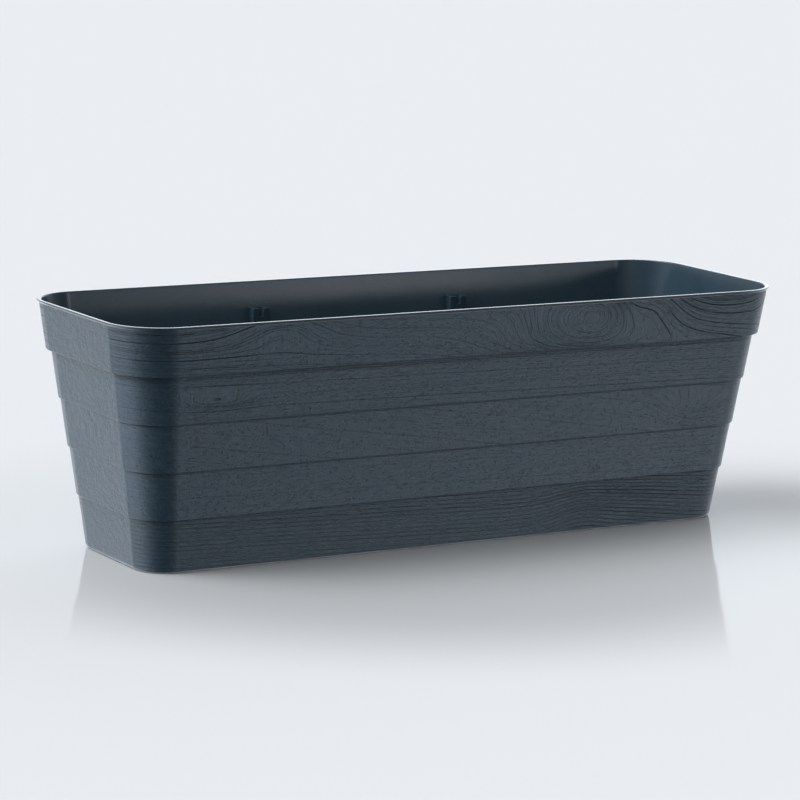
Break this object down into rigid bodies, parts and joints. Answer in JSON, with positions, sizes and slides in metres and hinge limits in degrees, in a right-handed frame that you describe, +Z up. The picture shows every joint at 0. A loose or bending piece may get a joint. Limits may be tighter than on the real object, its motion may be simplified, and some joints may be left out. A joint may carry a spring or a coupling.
{
  "type": "window box planter",
  "caption": "Long tapered window box with lapped plank-like walls, a beaded rim, forked hanger sockets inside, a lift-out drainage plate and pull-out drain plugs.",
  "frame": {"origin": "middle of the box in plan, on the flat that its foot stands on", "axes": "+X along the box, +Y from the front to the wall with the hanger sockets, +Z up"},
  "size_m": [0.58, 0.188, 0.188],
  "materials": {
    "shell": "satin, embossed with wood grain",
    "plate": "satin",
    "plug": "matt"
  },
  "bodies": {
    "box": {"planter_shell": "shell", "hanger_socket_left": "shell", "hanger_socket_right": "shell"},
    "plate": {"drainage_plate": "plate"},
    "plug_front_left": {"drain_plug_front_left": "plug"},
    "plug_front_right": {"drain_plug_front_right": "plug"},
    "plug_back_left": {"drain_plug_back_left": "plug"},
    "plug_back_right": {"drain_plug_back_right": "plug"}
  },
  "joints": [
    {"name": "drainage_plate_lift", "type": "slide", "parent": "box", "child": "plate", "axis": [0, 0, 1], "range_m": [0, 0.2]},
    {"name": "plug_front_left_pull", "type": "slide", "parent": "box", "child": "plug_front_left", "axis": [0, 0, 1], "range_m": [0, 0.008]},
    {"name": "plug_front_right_pull", "type": "slide", "parent": "box", "child": "plug_front_right", "axis": [0, 0, 1], "range_m": [0, 0.008]},
    {"name": "plug_back_left_pull", "type": "slide", "parent": "box", "child": "plug_back_left", "axis": [0, 0, 1], "range_m": [0, 0.008]},
    {"name": "plug_back_right_pull", "type": "slide", "parent": "box", "child": "plug_back_right", "axis": [0, 0, 1], "range_m": [0, 0.008]}
  ]
}
